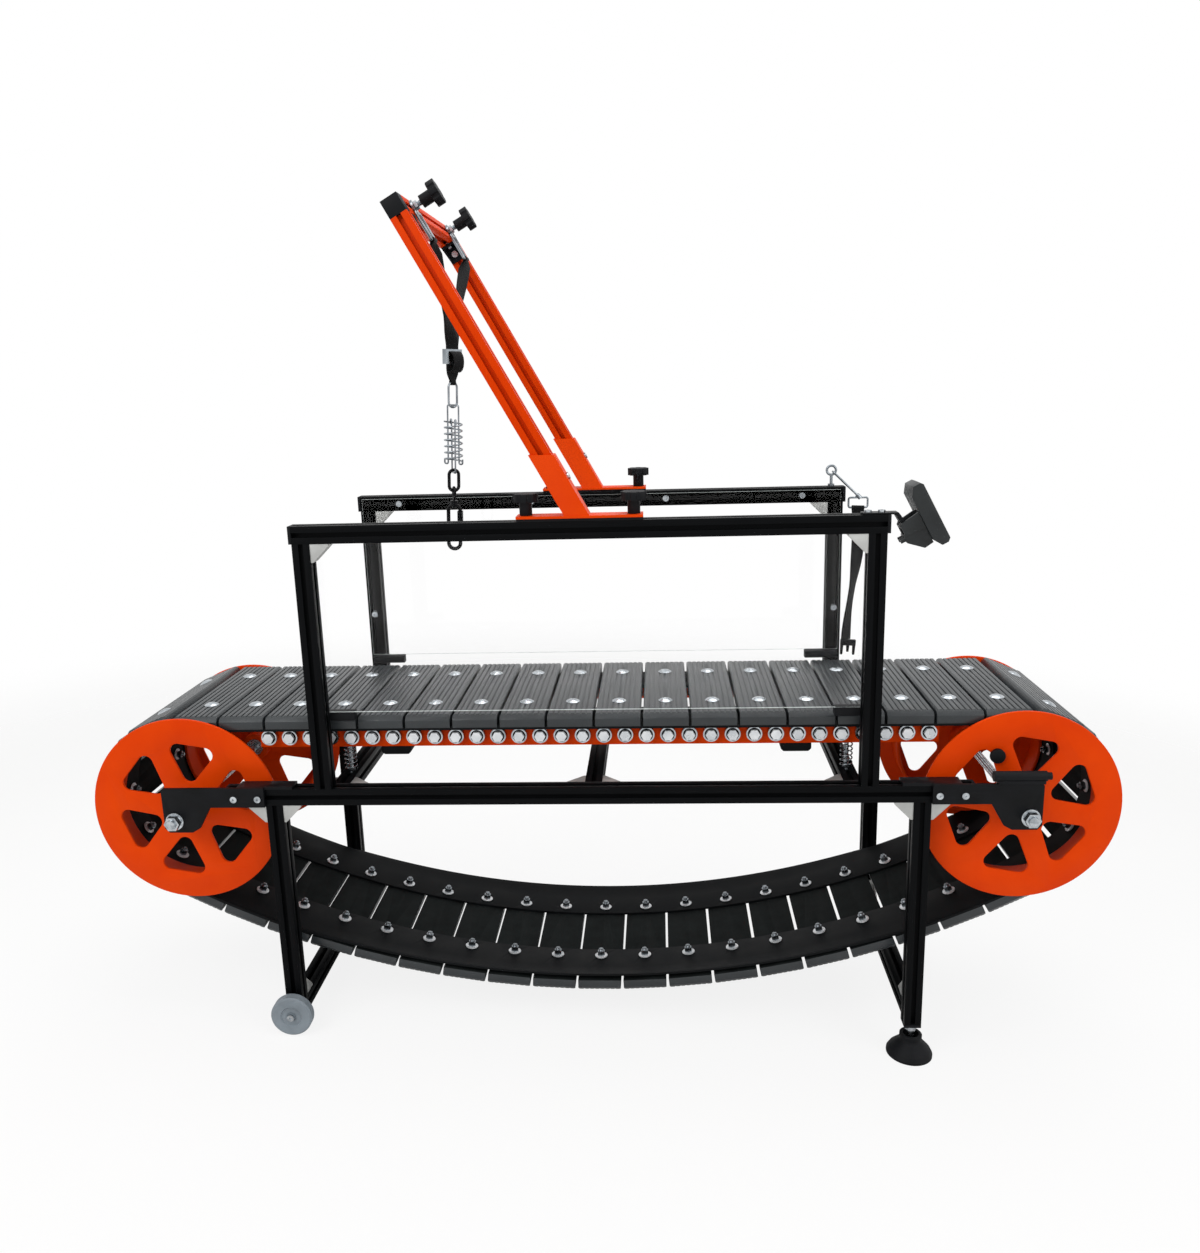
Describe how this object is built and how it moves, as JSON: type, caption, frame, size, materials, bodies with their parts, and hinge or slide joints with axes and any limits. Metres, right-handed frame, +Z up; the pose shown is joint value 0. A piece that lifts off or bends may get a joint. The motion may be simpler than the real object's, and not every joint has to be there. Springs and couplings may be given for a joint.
{
  "type": "dog treadmill",
  "caption": "Self-powered dog treadmill: slotted-bar frame, slat belt on spoked drums, sprung bearing deck, clear side panes and a sliding harness arm.",
  "frame": {"origin": "on the floor, midway between the two drum axles and on the mid-plane", "axes": "+X along the belt toward the raised end with the display, +Y across to the rear side, +Z up"},
  "size_m": [1.8422, 0.518, 1.4957],
  "materials": {
    "black_bar": "satin anodised",
    "orange_metal": "satin powder coat",
    "zinc_steel": "bright zinc",
    "cast_grey": "die cast",
    "black_plastic": "matte",
    "slat_board": "grooved composite",
    "black_rubber": "matte",
    "clear_pane": "clear acrylic",
    "grey_tyre": "matte",
    "webbing": "woven"
  },
  "bodies": {
    "frame": {"side_rails": "black_bar", "legs": "black_bar", "uprights": "black_bar", "top_rails": "black_bar", "cross_bars": "black_bar", "corner_gussets": "cast_grey", "frame_screws": "zinc_steel", "rail_end_caps": "black_plastic", "axle_plates": "black_bar", "axles": "zinc_steel", "axle_nuts": "zinc_steel", "acrylic_panes": "clear_pane", "pane_brackets": "black_plastic", "belt_strips": "black_rubber", "slats": "slat_board", "slat_bolts": "zinc_steel", "slat_nuts": "zinc_steel", "spring_studs": "zinc_steel", "deck_springs_left": "zinc_steel", "deck_springs_right": "zinc_steel", "eye_bolt": "zinc_steel", "speed_sensor": "black_plastic", "display_bracket": "black_bar", "foot_stems": "zinc_steel"},
    "deck": {"deck_rails": "orange_metal", "deck_bearings": "zinc_steel", "deck_bolts": "zinc_steel", "deck_stops": "black_rubber"},
    "drum_left": {"drum_wheels_left": "orange_metal", "drum_bearings_left": "zinc_steel"},
    "drum_right": {"drum_wheels_right": "orange_metal", "drum_bearings_right": "zinc_steel", "speed_magnet": "black_plastic"},
    "arm": {"arm_posts": "orange_metal", "arm_cross_bar": "orange_metal", "arm_brackets": "orange_metal", "arm_caps": "black_plastic", "arm_screws": "zinc_steel", "arm_gussets": "black_plastic", "strap_rings": "zinc_steel"},
    "knob_fl": {"knob_front_left": "black_plastic"},
    "knob_fr": {"knob_front_right": "black_plastic"},
    "knob_rl": {"knob_rear_left": "black_plastic"},
    "knob_rr": {"knob_rear_right": "black_plastic"},
    "knob_tf": {"knob_top_front": "black_plastic"},
    "knob_tr": {"knob_top_rear": "black_plastic"},
    "tether": {"tether_strap": "webbing", "tether_fittings": "zinc_steel", "tether_spring": "zinc_steel"},
    "pull": {"drawbar_pull": "zinc_steel", "swivel_link": "black_plastic"},
    "hook": {"snap_hook": "black_plastic"},
    "gate": {"snap_gate": "zinc_steel"},
    "wheel_front": {"transport_wheel_front": "grey_tyre"},
    "wheel_rear": {"transport_wheel_rear": "grey_tyre"},
    "pad_front": {"foot_pad_front": "black_plastic"},
    "pad_rear": {"foot_pad_rear": "black_plastic"},
    "display": {"display_head": "black_plastic"},
    "safety": {"safety_strap": "webbing", "safety_hook": "zinc_steel"}
  },
  "joints": [
    {"name": "deck_bounce", "type": "slide", "parent": "frame", "child": "deck", "axis": [-0.0454, 0, 0.999], "range_m": [-0.006, 0], "stiffness_N_per_m": 60000, "springref_m": 0.004, "deforming": ["deck_springs_left", "deck_springs_right"]},
    {"name": "drum_left_spin", "type": "hinge", "parent": "frame", "child": "drum_left", "pos_m": [-0.74423, 0, 0.40845], "axis": [0, 1, 0], "continuous": true},
    {"name": "drum_right_spin", "type": "hinge", "parent": "frame", "child": "drum_right", "pos_m": [0.74423, 0, 0.47603], "axis": [0, 1, 0], "continuous": true},
    {"name": "arm_slide", "type": "slide", "parent": "frame", "child": "arm", "axis": [0.999, 0, 0.0454], "range_m": [-0.37, 0.33]},
    {"name": "knob_fl_turn", "type": "hinge", "parent": "arm", "child": "knob_fl", "pos_m": [-0.12094, -0.215, 0.96729], "axis": [-0.0454, 0, 0.999], "continuous": true},
    {"name": "knob_fr_turn", "type": "hinge", "parent": "arm", "child": "knob_fr", "pos_m": [0.05687, -0.215, 0.97537], "axis": [-0.0454, 0, 0.999], "continuous": true},
    {"name": "knob_rl_turn", "type": "hinge", "parent": "arm", "child": "knob_rl", "pos_m": [-0.12094, 0.215, 0.96729], "axis": [-0.0454, 0, 0.999], "continuous": true},
    {"name": "knob_rr_turn", "type": "hinge", "parent": "arm", "child": "knob_rr", "pos_m": [0.05687, 0.215, 0.97537], "axis": [-0.0454, 0, 0.999], "continuous": true},
    {"name": "knob_tf_turn", "type": "hinge", "parent": "arm", "child": "knob_tf", "pos_m": [-0.31354, -0.15, 1.45087], "axis": [0.8517, 0, 0.524], "continuous": true},
    {"name": "knob_tr_turn", "type": "hinge", "parent": "arm", "child": "knob_tr", "pos_m": [-0.31354, 0.15, 1.45087], "axis": [0.8517, 0, 0.524], "continuous": true},
    {"name": "tether_swing", "type": "hinge", "parent": "arm", "child": "tether", "pos_m": [-0.28033, 0, 1.40203], "axis": [0, 1, 0], "range_deg": [-25, 25]},
    {"name": "drawbar_stretch", "type": "slide", "parent": "tether", "child": "pull", "axis": [0, 0, -1], "range_m": [0, 0.03], "stiffness_N_per_m": 4000, "springref_m": -0.002, "deforming": ["tether_spring"]},
    {"name": "hook_swivel", "type": "hinge", "parent": "pull", "child": "hook", "pos_m": [-0.28033, 0, 0.95473], "axis": [0, 0, 1], "continuous": true},
    {"name": "gate_open", "type": "hinge", "parent": "hook", "child": "gate", "pos_m": [-0.26933, 0, 0.92873], "axis": [0, 1, 0], "range_deg": [0, 25], "stiffness_Nm_per_rad": 0.02, "springref_deg": -8.59},
    {"name": "wheel_front_roll", "type": "hinge", "parent": "frame", "child": "wheel_front", "pos_m": [-0.54723, -0.245, 0.038], "axis": [0, 1, 0], "continuous": true},
    {"name": "wheel_rear_roll", "type": "hinge", "parent": "frame", "child": "wheel_rear", "pos_m": [-0.54723, 0.245, 0.038], "axis": [0, 1, 0], "continuous": true},
    {"name": "pad_front_swivel", "type": "hinge", "parent": "frame", "child": "pad_front", "pos_m": [0.58466, -0.215, 0.022], "axis": [0, 0, 1], "continuous": true},
    {"name": "pad_rear_swivel", "type": "hinge", "parent": "frame", "child": "pad_rear", "pos_m": [0.58466, 0.215, 0.022], "axis": [0, 0, 1], "continuous": true},
    {"name": "display_tilt", "type": "hinge", "parent": "frame", "child": "display", "pos_m": [0.49474, -0.215, 0.96622], "axis": [0, 1, 0], "range_deg": [-20, 20]},
    {"name": "safety_swing", "type": "hinge", "parent": "frame", "child": "safety", "pos_m": [0.44243, 0.215, 1.0159], "axis": [0, -1, 0], "range_deg": [0, 30]}
  ],
  "couplings": [
    {"joint": "drum_left_spin", "follows": "drum_right_spin", "ratio": 1}
  ]
}
